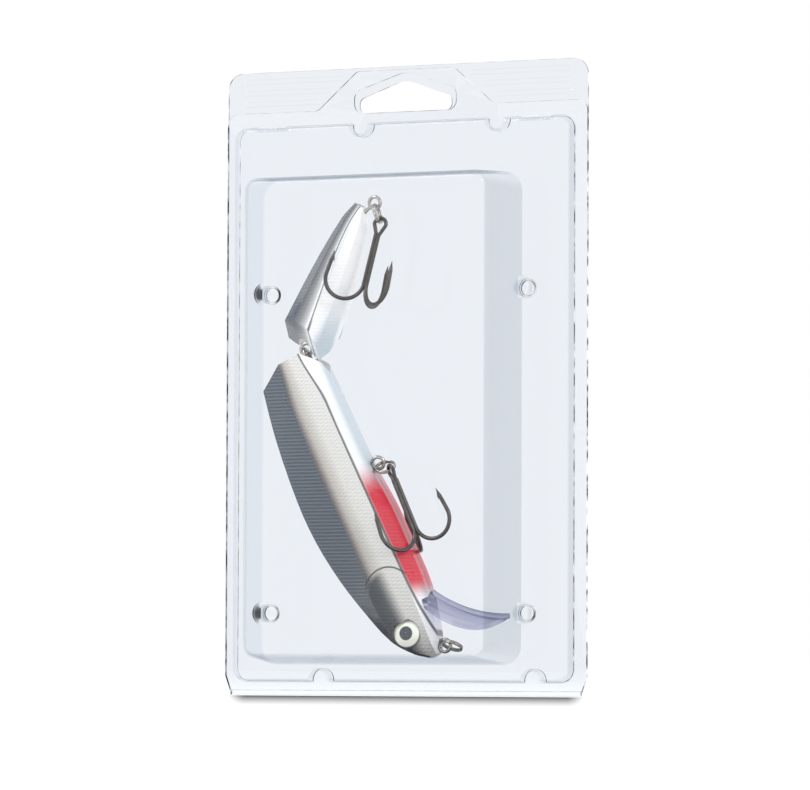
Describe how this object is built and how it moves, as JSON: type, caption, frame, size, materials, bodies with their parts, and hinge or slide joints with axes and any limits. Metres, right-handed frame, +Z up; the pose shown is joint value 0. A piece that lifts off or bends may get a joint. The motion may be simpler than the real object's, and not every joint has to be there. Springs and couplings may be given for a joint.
{
  "type": "blister pack with fishing lure",
  "caption": "Clear plastic clamshell hang pack, snapped shut on a jointed two-piece fishing lure with a diving lip, split rings and treble hooks.",
  "frame": {"origin": "bearing point of the hang hole: middle of the back half's peaked hole, on the face where the two halves meet", "axes": "+X to the right of the pack seen from the front, +Y from the front to the back, +Z up along the pack's height"},
  "size_m": [0.125, 0.0252, 0.195],
  "materials": {
    "clear_film": "clear thermoformed film, smooth and glossy",
    "clear_lip": "clear moulded plastic with a faint blue-violet tint",
    "painted_body": "glossy sprayed paint: dark scaled back, pearl sides, red throat",
    "painted_tail": "glossy sprayed paint: dark scaled back, silver-white sides",
    "eye_cream": "glossy domed eye, pale ring and dark pupil",
    "nickel_wire": "bright nickel-plated wire",
    "nickel_ring": "bright nickel-plated flat wire",
    "hook_steel": "dark bronzed hook steel"
  },
  "bodies": {
    "front_half": {"front_shell": "clear_film", "lure_body": "painted_body", "diving_lip": "clear_lip", "eye_left": "eye_cream", "eye_right": "eye_cream", "nose_screw_eye": "nickel_wire", "belly_screw_eye": "nickel_wire", "joint_eye_front": "nickel_wire"},
    "back_half": {"back_shell": "clear_film"},
    "tail": {"tail_section": "painted_tail", "joint_eye_rear": "nickel_wire", "tail_screw_eye": "nickel_wire"},
    "nose_ring": {"nose_split_ring": "nickel_ring"},
    "belly_ring": {"belly_split_ring": "nickel_ring"},
    "belly_hook": {"belly_treble": "hook_steel"},
    "tail_ring": {"tail_split_ring": "nickel_ring"},
    "tail_hook": {"tail_treble": "hook_steel"}
  },
  "joints": [
    {"name": "fold", "type": "hinge", "parent": "front_half", "child": "back_half", "pos_m": [0, 0, -0.19005], "axis": [-1, 0, 0], "range_deg": [0, 90]},
    {"name": "tail_bend", "type": "hinge", "parent": "front_half", "child": "tail", "pos_m": [-0.02916, -0.01027, -0.08427], "axis": [0, 1, 0], "range_deg": [-1, 1]},
    {"name": "nose_ring_swing", "type": "hinge", "parent": "front_half", "child": "nose_ring", "pos_m": [0.02116, -0.00997, -0.17541], "axis": [0.02, 0.0412, 0.999], "range_deg": [-4, 4]},
    {"name": "belly_ring_swing", "type": "hinge", "parent": "front_half", "child": "belly_ring", "pos_m": [-0.00235, -0.00912, -0.11982], "axis": [0.3646, -0.1726, 0.915], "range_deg": [0, 0.8]},
    {"name": "belly_hook_swing", "type": "hinge", "parent": "belly_ring", "child": "belly_hook", "pos_m": [0.00111, -0.01192, -0.12166], "axis": [0.6195, 0.6553, 0.4322], "range_deg": [-1.5, 0]},
    {"name": "tail_ring_swing", "type": "hinge", "parent": "tail", "child": "tail_ring", "pos_m": [-0.00434, -0.01069, -0.04077], "axis": [0.9373, -0.0711, 0.3413], "range_deg": [-1.5, 1.5]},
    {"name": "tail_hook_swing", "type": "hinge", "parent": "tail_ring", "child": "tail_hook", "pos_m": [-0.00281, -0.01181, -0.0452], "axis": [-0.1438, 0.9705, -0.1935], "range_deg": [-1.5, 1.5]}
  ]
}
